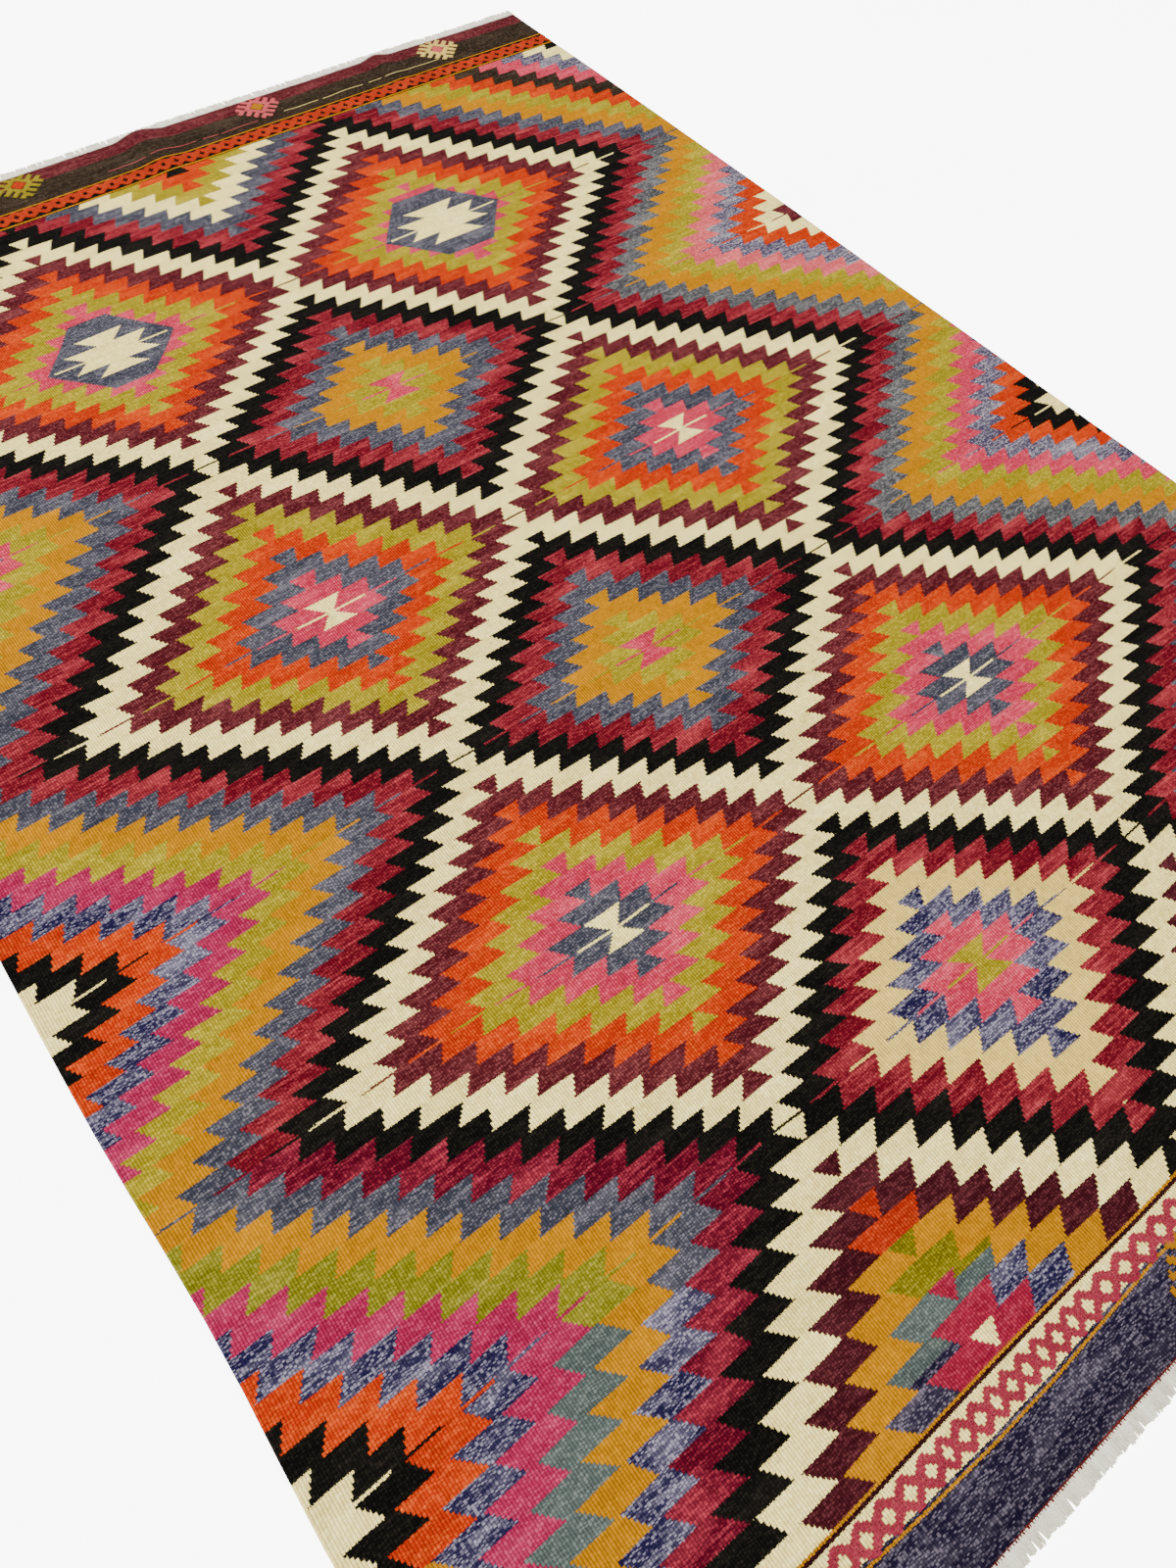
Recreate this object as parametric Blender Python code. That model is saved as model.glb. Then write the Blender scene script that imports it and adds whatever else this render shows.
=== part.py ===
"""A flat-woven wool kilim lying on a floor, with a short cut fringe at each end.

Run with: blender --background --python part.py
Units are metres, +Z is up. X runs across the rug, Y along its warps, and the origin is
the middle of the floor under it. The cloth is one thin sheet with two soft ridges that
start at its far end, and each fringe is one comb along its end of the cloth.
"""

import math
import random

import bpy

# Driving sizes.
CLOTH_THICKNESS = 0.0025
FRINGE_THICKNESS = 0.0018
FRINGE_LENGTH = 0.0165
FRINGE_UNEVENNESS = 0.0018
FRINGE_SPINE = 0.005
TOOTH_COUNT = 100
TOOTH_ROOT_SHARE = 0.78
TOOTH_TIP_SHARE = 0.56
SEAM_GAP = 0.0003
CLOTH_STEP = 0.11
FRINGE_SEED = 7

# How far the two sides stand from the middle line, from the near end (0) to the far end (1).
SIDE_LINES = (
    {"along": 0.00, "left": -0.7790, "right": 0.7680},
    {"along": 0.14, "left": -0.7775, "right": 0.7695},
    {"along": 0.24, "left": -0.7717, "right": 0.7700},
    {"along": 0.34, "left": -0.7760, "right": 0.7715},
    {"along": 0.50, "left": -0.7715, "right": 0.7745},
    {"along": 0.68, "left": -0.7755, "right": 0.7785},
    {"along": 0.85, "left": -0.7720, "right": 0.7790},
    {"along": 1.00, "left": -0.7690, "right": 0.7760},
)

# How far the two ends stand from the middle, from the left side (0) to the right side (1).
END_LINES = (
    {"across": 0.00, "near": -1.1005, "far": 1.1120},
    {"across": 0.25, "near": -1.1035, "far": 1.1155},
    {"across": 0.50, "near": -1.1065, "far": 1.1130},
    {"across": 0.75, "near": -1.1045, "far": 1.1050},
    {"across": 1.00, "near": -1.1000, "far": 1.0945},
)

# Soft ridges along the warps. Each is highest at the far end and dies out at "ends_at".
RIDGES = (
    {"x": 0.010, "height": 0.0080, "half_width": 0.050, "ends_at": 0.93},
    {"x": 0.470, "height": 0.0055, "half_width": 0.034, "ends_at": 0.95},
)
RIDGE_SHAPE = (-1.0, -0.7, -0.45, -0.2, 0.0, 0.2, 0.45, 0.7, 1.0)
RIDGE_ROWS = (0.185, 0.150, 0.115, 0.080, 0.045)
FAR_END = 1.115

MATERIALS = {
    "kilim": {"colour": (0.33, 0.03, 0.05, 1.0), "roughness": 0.9},
    "fringe_far": {"colour": (0.72, 0.68, 0.58, 1.0), "roughness": 0.85},
    "fringe_near": {"colour": (0.70, 0.66, 0.56, 1.0), "roughness": 0.85},
}


def clear_scene():
    for thing in list(bpy.data.objects):
        bpy.data.objects.remove(thing, do_unlink=True)


def eased(table, key, column, place):
    """Read one column of a table at a place between its rows, on a smooth line."""
    for low, high in zip(table, table[1:]):
        if place <= high[key]:
            break
    share = (place - low[key]) / (high[key] - low[key])
    share = min(1.0, max(0.0, share))
    blend = 0.5 - 0.5 * math.cos(math.pi * share)
    return low[column] + (high[column] - low[column]) * blend


def cloth_point(across, along):
    """The place on the floor plan of a point given as shares of the width and the length."""
    left = eased(SIDE_LINES, "along", "left", along)
    right = eased(SIDE_LINES, "along", "right", along)
    near = eased(END_LINES, "across", "near", across)
    far = eased(END_LINES, "across", "far", across)
    return left + (right - left) * across, near + (far - near) * along


def ridge_height(x, y):
    """How high the cloth's underside stands over the floor."""
    height = 0.0
    for ridge in RIDGES:
        aside = abs(x - ridge["x"]) / ridge["half_width"]
        inward = (y - ridge["ends_at"]) / (FAR_END - ridge["ends_at"])
        if aside < 1.0 and inward > 0.0:
            swell = 0.5 + 0.5 * math.cos(math.pi * aside)
            fade = math.sin(0.5 * math.pi * min(1.0, inward)) ** 2
            height += ridge["height"] * swell * fade
    return height


def even_shares(step_count):
    return [step / step_count for step in range(step_count + 1)]


def across_shares():
    """Columns of the cloth's grid: an even spacing, and closer ones over each ridge."""
    left, right = SIDE_LINES[-1]["left"], SIDE_LINES[-1]["right"]
    width = right - left
    shares = []
    for share in even_shares(round(width / CLOTH_STEP)):
        x = left + width * share
        if all(abs(x - ridge["x"]) > ridge["half_width"] for ridge in RIDGES):
            shares.append(share)
    for ridge in RIDGES:
        for offset in RIDGE_SHAPE:
            x = ridge["x"] + offset * ridge["half_width"]
            shares.append((x - left) / width)
    return sorted(shares)


def along_shares():
    """Rows of the cloth's grid: an even spacing, and closer ones where the ridges run out."""
    length = END_LINES[2]["far"] - END_LINES[2]["near"]
    shares = []
    for share in even_shares(round(length / CLOTH_STEP)):
        if share == 1.0 or (1.0 - share) * length > RIDGE_ROWS[0] + 0.3 * CLOTH_STEP:
            shares.append(share)
    for depth in RIDGE_ROWS:
        shares.append(1.0 - depth / length)
    return sorted(shares)


def end_point(across, along, columns):
    """A point on the cloth's end, which runs straight from one column of its grid to the next."""
    for low, high in zip(columns, columns[1:]):
        if across <= high:
            break
    share = (across - low) / (high - low)
    (low_x, low_y), (high_x, high_y) = cloth_point(low, along), cloth_point(high, along)
    return low_x + (high_x - low_x) * share, low_y + (high_y - low_y) * share


def closed_sheet(top, bottom, quads):
    """Close a sheet given by its top points, its bottom points and its quads.

    The rim is every quad edge that only one quad uses.
    """
    count = len(top)
    faces = [list(quad) for quad in quads]
    faces += [[corner + count for corner in reversed(quad)] for quad in quads]
    edges = [(quad[i], quad[(i + 1) % 4]) for quad in quads for i in range(4)]
    used = set(edges)
    for start, end in edges:
        if (end, start) not in used:
            faces.append([end, start, start + count, end + count])
    return top + bottom, faces


def add_piece(name, points, faces):
    mesh = bpy.data.meshes.new(name)
    mesh.from_pydata(points, [], faces)
    mesh.validate()
    piece = bpy.data.objects.new(name, mesh)
    bpy.context.scene.collection.objects.link(piece)
    material = bpy.data.materials.new(name + "_wool")
    material.use_nodes = True
    shader = material.node_tree.nodes["Principled BSDF"]
    shader.inputs["Base Color"].default_value = MATERIALS[name]["colour"]
    shader.inputs["Roughness"].default_value = MATERIALS[name]["roughness"]
    shader.inputs["Metallic"].default_value = 0.0
    mesh.materials.append(material)
    return piece


def cloth():
    """The woven sheet, hem and selvedges in one piece."""
    columns = across_shares()
    rows = along_shares()
    top = []
    bottom = []
    for along in rows:
        for across in columns:
            x, y = cloth_point(across, along)
            height = ridge_height(x, y)
            bottom.append((x, y, height))
            top.append((x, y, height + CLOTH_THICKNESS))
    width = len(columns)
    quads = []
    for row in range(len(rows) - 1):
        for column in range(width - 1):
            corner = row * width + column
            quads.append((corner, corner + 1, corner + 1 + width, corner + width))
    points, faces = closed_sheet(top, bottom, quads)
    add_piece("kilim", points, faces)


def fringe(name, along, outward):
    """One comb: a spine along the cloth's end, and a tooth for each bunch of warp ends.

    The comb leaves the cloth at the cloth's own height and its tips lie on the floor.
    """
    lengths = random.Random(FRINGE_SEED + outward)
    columns = across_shares()
    top = []
    bottom = []
    quads = []

    def station(across, reach, length):
        x, y = end_point(across, along, columns)
        height = ridge_height(x, y) * (1.0 - reach / length)
        place = y + outward * reach
        bottom.append((x, place, height))
        top.append((x, place, height + FRINGE_THICKNESS))
        return len(top) - 1

    def quad(a, b, c, d):
        quads.append((a, b, c, d) if outward > 0 else (d, c, b, a))

    previous = None
    for tooth in range(TOOTH_COUNT):
        length = FRINGE_LENGTH + lengths.uniform(-FRINGE_UNEVENNESS, FRINGE_UNEVENNESS)
        middle = (tooth + 0.5) / TOOTH_COUNT
        root = 0.5 * TOOTH_ROOT_SHARE / TOOTH_COUNT
        tip = 0.5 * TOOTH_TIP_SHARE / TOOTH_COUNT
        low = [station(middle + side * root, SEAM_GAP, length) for side in (-1, 1)]
        high = [station(middle + side * root, FRINGE_SPINE, length) for side in (-1, 1)]
        ends = [station(middle + side * tip, length, length) for side in (-1, 1)]
        quad(low[0], low[1], high[1], high[0])
        quad(high[0], high[1], ends[1], ends[0])
        if previous:
            quad(previous[0], low[0], high[0], previous[1])
        previous = (low[1], high[1])
    points, faces = closed_sheet(top, bottom, quads)
    add_piece(name, points, faces)


def centre_on_floor():
    """Put the origin in the middle of the box of the whole rug, on the floor."""
    pieces = [thing for thing in bpy.data.objects if thing.type == "MESH"]
    for axis in (0, 1):
        places = [point.co[axis] for piece in pieces for point in piece.data.vertices]
        middle = 0.5 * (min(places) + max(places))
        for piece in pieces:
            for point in piece.data.vertices:
                point.co[axis] -= middle


clear_scene()
cloth()
fringe("fringe_far", 1.0, 1)
fringe("fringe_near", 0.0, -1)
centre_on_floor()
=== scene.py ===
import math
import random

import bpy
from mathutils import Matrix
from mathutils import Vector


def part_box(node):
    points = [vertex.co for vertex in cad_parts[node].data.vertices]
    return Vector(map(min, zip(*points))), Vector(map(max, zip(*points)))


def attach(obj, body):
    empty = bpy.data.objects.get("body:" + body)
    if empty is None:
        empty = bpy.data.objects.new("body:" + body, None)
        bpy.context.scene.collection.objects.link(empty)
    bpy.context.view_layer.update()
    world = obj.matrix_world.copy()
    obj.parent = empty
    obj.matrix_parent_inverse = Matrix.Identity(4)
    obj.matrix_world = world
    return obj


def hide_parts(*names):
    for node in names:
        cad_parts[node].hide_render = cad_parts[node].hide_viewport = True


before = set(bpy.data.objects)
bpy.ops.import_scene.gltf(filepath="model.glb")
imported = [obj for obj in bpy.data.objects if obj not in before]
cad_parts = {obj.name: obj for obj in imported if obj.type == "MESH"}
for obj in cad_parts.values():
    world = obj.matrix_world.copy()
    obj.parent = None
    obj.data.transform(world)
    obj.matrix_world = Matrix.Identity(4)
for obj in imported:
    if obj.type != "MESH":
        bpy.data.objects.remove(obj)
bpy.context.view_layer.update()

# Looks of a flat-woven wool kilim: stepped serrated diamonds, brocaded end bands, cut fringes.
#
# The cloth is one thin ribbed sheet on the CAD sheet's outline and ridges. Its pattern is one
# procedural material, worked out rib by rib from the weaver's chart below. The brocaded bands
# and stars are raised stitches, and each fringe is a row of cut warp ends.

# -------------------- the cloth's shape

CLOTH_THICKNESS = 0.0025
CLOTH_WIDTH = 1.550
CLOTH_LENGTH = 2.220

# The selvedges and the ends wander a little. "along" and "across" are shares of the cloth.
SIDE_LINES = (
    {"along": 0.00, "left": -0.7790, "right": 0.7680},
    {"along": 0.14, "left": -0.7775, "right": 0.7695},
    {"along": 0.24, "left": -0.7717, "right": 0.7700},
    {"along": 0.34, "left": -0.7760, "right": 0.7715},
    {"along": 0.50, "left": -0.7715, "right": 0.7745},
    {"along": 0.68, "left": -0.7755, "right": 0.7785},
    {"along": 0.85, "left": -0.7720, "right": 0.7790},
    {"along": 1.00, "left": -0.7690, "right": 0.7760},
)

END_LINES = (
    {"across": 0.00, "near": -1.1005, "far": 1.1120},
    {"across": 0.25, "near": -1.1035, "far": 1.1155},
    {"across": 0.50, "near": -1.1065, "far": 1.1130},
    {"across": 0.75, "near": -1.1045, "far": 1.1050},
    {"across": 1.00, "near": -1.1000, "far": 1.0945},
)

# Two low ridges, where the cloth lifts off the floor at its far end.
RIDGES = (
    {"x": 0.010, "height": 0.0080, "half_width": 0.050, "ends_at": 0.93},
    {"x": 0.470, "height": 0.0055, "half_width": 0.034, "ends_at": 0.95},
)
FAR_END = 1.115

# The weave's own sizes: one rib for each pair of warps, and the beaten-down wefts.
RIB_COUNT = 510
RIB_PITCH = CLOTH_WIDTH / RIB_COUNT
RIB_RELIEF = 0.00035
WEFT_PITCH = 0.00115

# How far a weft dips between two ribs, and how far it sways over the whole width.
WEFT_DIP = 0.0006
WEFT_SWAY = 0.008

# Rows of faces along the sheet: evenly spaced up to that share, then closer for the ridges.
PLAIN_ROWS = 30
RIDGED_ROWS = 11
PLAIN_SHARE = 0.91

# -------------------- the weaver's chart


def wool(main, fleck, heather, abrash):
    """Two sRGB colours, how much of the second is spun in, and how uneven the dye is."""
    return {"main": main, "fleck": fleck, "heather": heather, "abrash": abrash}


# One letter for each dyed yarn.
YARNS = {
    "I": wool((250, 226, 132), (255, 242, 164), 0.50, 0.30),
    "C": wool((224, 192, 100), (210, 178, 84), 0.30, 0.25),
    "K": wool((12, 11, 10), (36, 32, 26), 0.45, 0.30),
    "B": wool((36, 27, 19), (78, 64, 50), 0.55, 0.35),
    "R": wool((92, 10, 25), (161, 58, 62), 0.45, 0.70),
    "S": wool((51, 52, 63), (105, 101, 107), 0.80, 0.55),
    "s": wool((62, 63, 67), (120, 117, 113), 0.80, 0.45),
    "Y": wool((171, 111, 0), (185, 124, 0), 0.40, 0.35),
    "G": wool((140, 124, 18), (174, 157, 48), 0.60, 0.45),
    "g": wool((98, 90, 8), (138, 126, 34), 0.60, 0.45),
    "P": wool((178, 43, 66), (212, 96, 108), 0.45, 0.40),
    "p": wool((196, 76, 82), (220, 122, 118), 0.50, 0.40),
    "Q": wool((132, 22, 46), (168, 58, 76), 0.45, 0.35),
    "L": wool((152, 34, 60), (196, 78, 94), 0.45, 0.35),
    "N": wool((26, 20, 42), (98, 90, 102), 0.90, 0.40),
    "n": wool((66, 58, 82), (150, 143, 148), 0.90, 0.60),
    "O": wool((172, 38, 4), (206, 86, 28), 0.45, 0.40),
    "o": wool((152, 32, 8), (186, 70, 34), 0.45, 0.40),
    "M": wool((71, 18, 25), (124, 62, 62), 0.60, 0.40),
    "m": wool((54, 14, 21), (98, 46, 50), 0.55, 0.35),
    "D": wool((36, 10, 14), (72, 34, 36), 0.50, 0.25),
    "T": wool((70, 80, 77), (108, 116, 108), 0.60, 0.30),
    "E": wool((96, 28, 24), (124, 56, 44), 0.50, 0.25),
    "V": wool((29, 23, 58), (134, 128, 143), 0.80, 0.60),
    "H": wool((146, 25, 63), (182, 68, 100), 0.45, 0.40),
    "e": wool((108, 105, 20), (143, 137, 48), 0.60, 0.45),
    "r": wool((78, 6, 26), (154, 50, 63), 0.45, 0.70),
}

# Rings of the large diamonds, from the middle outwards, two steps to a ring.
LARGE_RINGS = {"first": "PPPGOMI", "second": "IPSOGMI", "third": "ISPGOMI"}
LARGE_COUNT = len(LARGE_RINGS["first"])

# The near border cuts the last large diamonds. Their third and fourth rings change yarns
# on the way down: one letter for each third of a row, counted from the line that is cut off.
CUT_RINGS = "IIQGomI"
CUT_THIRD_RING = {"left": "NNNNNNNNNNTTTTTggg", "right": "VVVVVVVVVVVVTTgggg"}
CUT_FOURTH_RING = "YYYYYYYYYYYYYYYYYYYYYo"

# Where the yarn of a ring ran out in the small diamond at the left of the near border.
RUN_OUTS = (
    {"ring": 9, "below_row": 11.0, "yarn": "V"},
    {"ring": 11, "below_row": 12.0, "yarn": "T"},
    {"ring": 14, "below_row": 10.0, "yarn": "Y"},
)

# Rings of the small diamonds, from the large ones' rims inwards, for each cross line from
# the near end to the far one.
SMALL_RINGS = (
    {"left": "KrSYeHVOKI", "middle": "KRCVPG", "right": "KRSYGPVOKI"},
    {"left": "KRSYGHVOKI", "middle": "KRSYGP", "right": "KRsYGPnOKI"},
    {"left": "KRSYGPVOKI", "middle": "KRSYGP", "right": "KRsYGpnOIM"},
    {"left": "KRSYGOBPnIK", "middle": "KRSIGOK", "right": "KRSYGOBPnIK"},
)

# The cross lines from the near border to the far one. "row" counts rows of teeth from the
# line that the near border cuts off, "from_near" is in metres along the left column, "lean"
# is how much lower the line is at the right column, and "drop" half a metre to the left of
# the left column, where a step is "left_step" wide. The next three place the columns, and
# "slant" is how many steps a tooth's sides slant.
LINE_HEADINGS = ("row", "from_near", "lean", "drop", "left_step", "left", "middle", "right",
                 "slant")
LINE_ROWS = (
    (2.0, 0.0995, 0.000, 0.006, 0.0263, -0.2394, 0.0218, 0.2739, 0.70),
    (13.0, 0.3580, 0.003, 0.011, 0.0263, -0.2531, 0.0188, 0.2739, 0.62),
    (26.0, 0.6130, 0.002, -0.018, 0.0260, -0.2623, 0.0035, 0.2861, 0.55),
    (39.0, 0.8820, 0.012, 0.009, 0.0254, -0.2653, 0.0020, 0.2877, 0.50),
    (52.0, 1.1460, 0.001, 0.000, 0.0258, -0.2760, -0.0011, 0.2861, 0.45),
    (65.0, 1.4570, 0.020, 0.000, 0.0258, -0.2730, 0.0127, 0.2892, 0.45),
    (78.0, 1.7360, 0.001, 0.000, 0.0258, -0.2730, 0.0081, 0.2892, 0.45),
    (92.5, 2.0920, 0.004, 0.000, 0.0258, -0.2730, 0.0081, 0.2892, 0.45),
)
CROSS_LINES = [dict(zip(LINE_HEADINGS, row)) for row in LINE_ROWS]
FIRST_ROW = 2.01
HALF_BAND = 13
LAST_LINE = 78
STEPS_TO_MIDDLE = 10.9
RIGHT_STEP = 0.0252

# How uneven the rows of teeth are, and half the thin line in the middle of a diamond, in rows.
ROW_UNEVENNESS = 0.40
LINE_HALF = 0.065

# The bow in a large diamond's heart, in steps: half its width, the slant of its sides, and
# how far the line along its middle runs out.
BOW_REACH = 0.94
BOW_SLANT = 0.82
BOW_DASH = 1.70

# The smaller bow in a small diamond's heart, the same way, and the ring's number that it takes.
SMALL_BOW_REACH = 0.22
SMALL_BOW_SLANT = 0.95
SMALL_HEART = 12

# The far pair's slate hexagons and the ivory figures in them: half their widths in steps, for
# the left and the right one, how their sides run in, and how many rows they are high each way.
FAR_PAIR_ROW = 71.0
HEXAGON_REACH = (3.7, 4.2)
HEXAGON_SLOPE = 0.75
HEXAGON_ROWS = 3.45
FIGURE_REACH = (2.4, 2.75)
FIGURE_ROWS = 2.0
FIGURE_SLANT = 0.95

# Plain bands at the ends: the depth in metres, in from the end, where each starts, and its yarn.
NEAR_BANDS = (
    (0.0000, "E"),
    (0.0022, "N"),
    (0.0538, "Y"),
    (0.0568, "N"),
    (0.0600, "I"),
    (0.0927, "D"),
    (0.0963, "Y"),
)
NEAR_BORDER = 0.0992

# The yellow line of the near border wanders: places across, and its shift inwards there.
LINE_WANDER = (
    (-0.775, 0.0060),
    (-0.452, 0.0085),
    (-0.375, 0.0035),
    (-0.299, 0.0004),
    (-0.222, 0.0003),
    (-0.146, 0.0036),
    (-0.070, 0.0080),
    (0.120, 0.0020),
    (0.330, 0.0070),
    (0.775, 0.0030),
)
WANDER_STARTS = 0.010
WANDER_ENDS = 0.070

FAR_BANDS = (
    (0.0000, "M"),
    (0.0330, "B"),
    (0.0880, "Y"),
    (0.0905, "K"),
    (0.1225, "Y"),
    (0.1255, "K"),
)
FAR_BORDER = 0.1275
BAND_REACH = 0.16

# How much each thing adds to a yarn's brightness, on top of the "ground" between the ribs. "crest"
# and "swell" are painted shade, darker between the ribs and wefts and lighter on their crests; the
# rest is tone that differs at random.
PAINTED_SHADE_AND_TONE = {"ground": 0.44, "crest": 0.69, "swell": 0.14, "single": 0.28, "drawn": 0.55,
               "patches": 0.25, "tone": 0.12}


def srgb(colour):
    """Turn an sRGB colour of 0 to 255 into the linear colour that the shaders use."""
    linear = []
    for value in colour:
        share = value / 255.0
        linear.append(share / 12.92 if share <= 0.04045 else ((share + 0.055) / 1.055) ** 2.4)
    return tuple(linear)


def eased(table, key, column, place):
    """Read one column of a table at a place between its rows, on a smooth line."""
    for low, high in zip(table, table[1:]):
        if place <= high[key]:
            break
    share = (place - low[key]) / (high[key] - low[key])
    share = min(1.0, max(0.0, share))
    blend = 0.5 - 0.5 * math.cos(math.pi * share)
    return low[column] + (high[column] - low[column]) * blend


# The CAD puts its origin in the middle of the whole box, so the tables move with it.
kilim_low, kilim_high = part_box("kilim")
SHIFT_X = kilim_low[0] - min(line["left"] for line in SIDE_LINES)
SHIFT_Y = kilim_low[1] - min(line["near"] for line in END_LINES)


def plan_point(across, along):
    """A place in the cloth's plan, from its shares of the width and the length."""
    left = eased(SIDE_LINES, "along", "left", along)
    right = eased(SIDE_LINES, "along", "right", along)
    near = eased(END_LINES, "across", "near", across)
    far = eased(END_LINES, "across", "far", across)
    return left + (right - left) * across, near + (far - near) * along


def ridge_height(x, y):
    """How high the cloth's underside stands off the floor."""
    height = 0.0
    for ridge in RIDGES:
        aside = abs(x - ridge["x"]) / ridge["half_width"]
        inward = (y - ridge["ends_at"]) / (FAR_END - ridge["ends_at"])
        if aside < 1.0 and inward > 0.0:
            swell = 0.5 + 0.5 * math.cos(math.pi * aside)
            fade = math.sin(0.5 * math.pi * min(1.0, inward)) ** 2
            height += ridge["height"] * swell * fade
    return height


def cloth_place(across, along, lift=0.0):
    """A point of the cloth's underside, or that much above it, in the frame's metres."""
    x, y = plan_point(across, along)
    return Vector((x + SHIFT_X, y + SHIFT_Y, ridge_height(x, y) + lift))


# -------------------- node helper


class Graph:
    """Writes a material's node tree as arithmetic on sockets and numbers."""

    def __init__(self, name):
        self.material = bpy.data.materials.new(name)
        self.material.use_nodes = True
        self.tree = self.material.node_tree
        self.shader = self.tree.nodes["Principled BSDF"]

    def node(self, kind, **settings):
        made = self.tree.nodes.new(kind)
        for key, value in settings.items():
            setattr(made, key, value)
        return made

    def plan_place(self):
        """The place on a piece in metres, across and along."""
        split = self.node("ShaderNodeSeparateXYZ")
        self.feed(split.inputs[0], self.node("ShaderNodeTexCoord").outputs["Object"])
        return split.outputs[0], split.outputs[1]

    def feed(self, socket, value):
        if isinstance(value, bpy.types.NodeSocket):
            self.tree.links.new(value, socket)
        else:
            socket.default_value = value

    def math(self, operation, *values):
        made = self.node("ShaderNodeMath", operation=operation)
        for socket, value in zip(made.inputs, values):
            self.feed(socket, value)
        return made.outputs[0]

    def total(self, *values):
        result = values[0]
        for value in values[1:]:
            result = self.math("ADD", result, value)
        return result

    def product(self, *values):
        result = values[0]
        for value in values[1:]:
            result = self.math("MULTIPLY", result, value)
        return result

    def minus(self, first, second):
        return self.math("SUBTRACT", first, second)

    def choose(self, share, no, yes):
        """The number "no" where share is 0, "yes" where it is 1."""
        made = self.node("ShaderNodeMix", data_type="FLOAT")
        self.feed(made.inputs["Factor"], share)
        self.feed(made.inputs["A"], no)
        self.feed(made.inputs["B"], yes)
        return made.outputs["Result"]

    def blend(self, share, no, yes, blend_type="MIX"):
        """The same for colours."""
        made = self.node("ShaderNodeMix", data_type="RGBA", blend_type=blend_type)
        colours = [socket for socket in made.inputs if socket.type == "RGBA"]
        self.feed(made.inputs["Factor"], share)
        self.feed(colours[0], no)
        self.feed(colours[1], yes)
        return [socket for socket in made.outputs if socket.type == "RGBA"][0]

    def shaded(self, colour, shade):
        return self.blend(1.0, colour, self.vector(shade, shade, shade), "MULTIPLY")

    def vector(self, x, y, z=0.0):
        made = self.node("ShaderNodeCombineXYZ")
        for socket, value in zip(made.inputs, (x, y, z)):
            self.feed(socket, value)
        return made.outputs[0]

    def noise(self, vector, detail=0.0, output="Fac"):
        made = self.node("ShaderNodeTexNoise")
        self.feed(made.inputs["Vector"], vector)
        self.feed(made.inputs["Scale"], 1.0)
        self.feed(made.inputs["Detail"], detail)
        return made.outputs[output]

    def grain(self, x, y, per_x, per_y, detail=0.0):
        """Noise with about so many swells to a unit of x and of y."""
        return self.noise(self.vector(self.product(x, per_x), self.product(y, per_y)), detail)

    def speckle(self, vector):
        made = self.node("ShaderNodeTexWhiteNoise", noise_dimensions="3D")
        self.feed(made.inputs["Vector"], vector)
        return made.outputs["Value"]

    def ramp(self, position, stops, interpolation="CONSTANT"):
        """A colour ramp. Each stop is a position and a colour of four numbers."""
        made = self.node("ShaderNodeValToRGB")
        made.color_ramp.interpolation = interpolation
        elements = made.color_ramp.elements
        while len(elements) < len(stops):
            elements.new(1.0)
        for element, (place, colour) in zip(elements, stops):
            element.position = place
            element.color = colour
        self.feed(made.inputs["Fac"], position)
        return made.outputs["Color"], made.outputs["Alpha"]

    def curve(self, position, points):
        """A line through points, all between 0 and 1, straight from point to point."""
        made = self.node("ShaderNodeFloatCurve")
        line = made.mapping.curves[0]
        while len(line.points) < len(points):
            line.points.new(0.5, 0.5)
        for point, place in zip(line.points, points):
            point.location = place
            point.handle_type = "VECTOR"
        made.mapping.update()
        self.feed(made.inputs["Value"], position)
        return made.outputs[0]

    def smooth(self, value, low, high):
        made = self.node("ShaderNodeMapRange", interpolation_type="SMOOTHSTEP")
        for key, number in (("Value", value), ("From Min", low), ("From Max", high)):
            self.feed(made.inputs[key], number)
        return made.outputs["Result"]

    def bump(self, height, distance, strength):
        made = self.node("ShaderNodeBump")
        self.feed(made.inputs["Height"], height)
        made.inputs["Distance"].default_value = distance
        made.inputs["Strength"].default_value = strength
        self.tree.links.new(made.outputs[0], self.shader.inputs["Normal"])

    def finish(self, roughness=0.9, sheen=0.0):
        for key, value in (("Roughness", roughness), ("Specular IOR Level", 0.02),
                           ("Sheen Weight", sheen), ("Sheen Roughness", 0.6)):
            self.shader.inputs[key].default_value = value
        return self.material


# -------------------- the cloth's material

YARN_SLOTS = 32


def yarn_number(letter):
    """The yarn as a shade between 0 and 1, the way the charts hand it on."""
    return (list(YARNS).index(letter) + 0.5) / YARN_SLOTS


def read_letters(graph, pairs, position):
    """The yarn at that position, from pairs of where each yarn starts and its letter."""
    stops = []
    for start, letter in pairs:
        shade = yarn_number(letter)
        stops.append((start, (shade, shade, shade, 1.0)))
    return graph.ramp(position, stops)[0]


def read_chart(graph, letters, index):
    """The yarn of the letter at that index of a chart row."""
    pairs = [(place / len(letters), letter) for place, letter in enumerate(letters)]
    position = graph.math("DIVIDE", graph.math("ADD", index, 0.5), float(len(letters)))
    return read_letters(graph, pairs, position)


def read_bands(graph, bands, depth):
    """The yarn of the plain band at that depth in from the end."""
    pairs = [(start / BAND_REACH, letter) for start, letter in bands]
    return read_letters(graph, pairs, graph.math("DIVIDE", depth, BAND_REACH))


def line_curve(graph, along, column, scale, offset=0.0):
    """One column of the cross lines' table, read at a share of the cloth's length."""
    points = []
    for line in CROSS_LINES:
        points.append((line["from_near"] / CLOTH_LENGTH, line[column] / scale + offset))
    value = graph.curve(along, points)
    return graph.product(graph.minus(value, offset), scale)


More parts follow.
